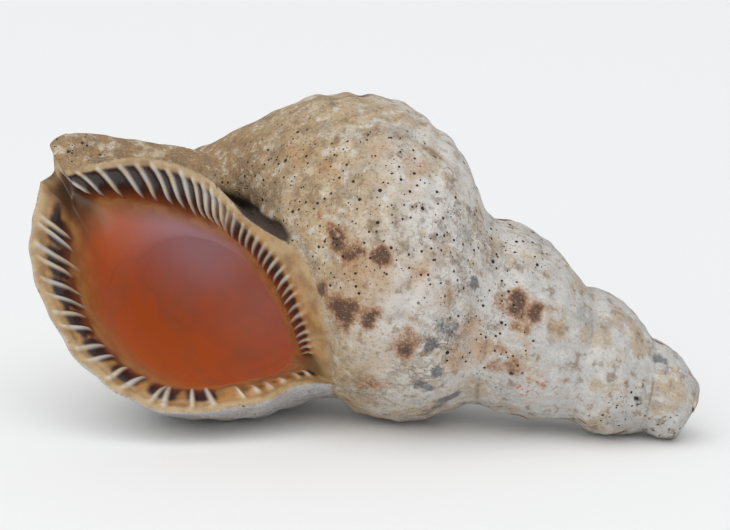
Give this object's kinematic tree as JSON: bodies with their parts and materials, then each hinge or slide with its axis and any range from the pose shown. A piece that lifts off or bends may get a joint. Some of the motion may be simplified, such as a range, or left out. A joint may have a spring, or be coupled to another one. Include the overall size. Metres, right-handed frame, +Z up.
{
  "type": "conch shell",
  "caption": "Worn spiral sea shell with a flared, toothed mouth, a short canal and a blunt spire, lying on its side with the mouth facing out.",
  "frame": {"origin": "centre of the bounding box on the ground the shell rests on", "axes": "+X towards the worn apex, along the longest extent; +Z up; the mouth faces -Y"},
  "size_m": [0.2692, 0.1306, 0.1306],
  "materials": {
    "shell": "chalky worn outside, glossy lip and throat"
  },
  "bodies": {
    "root": {"shell": "shell"}
  },
  "joints": []
}
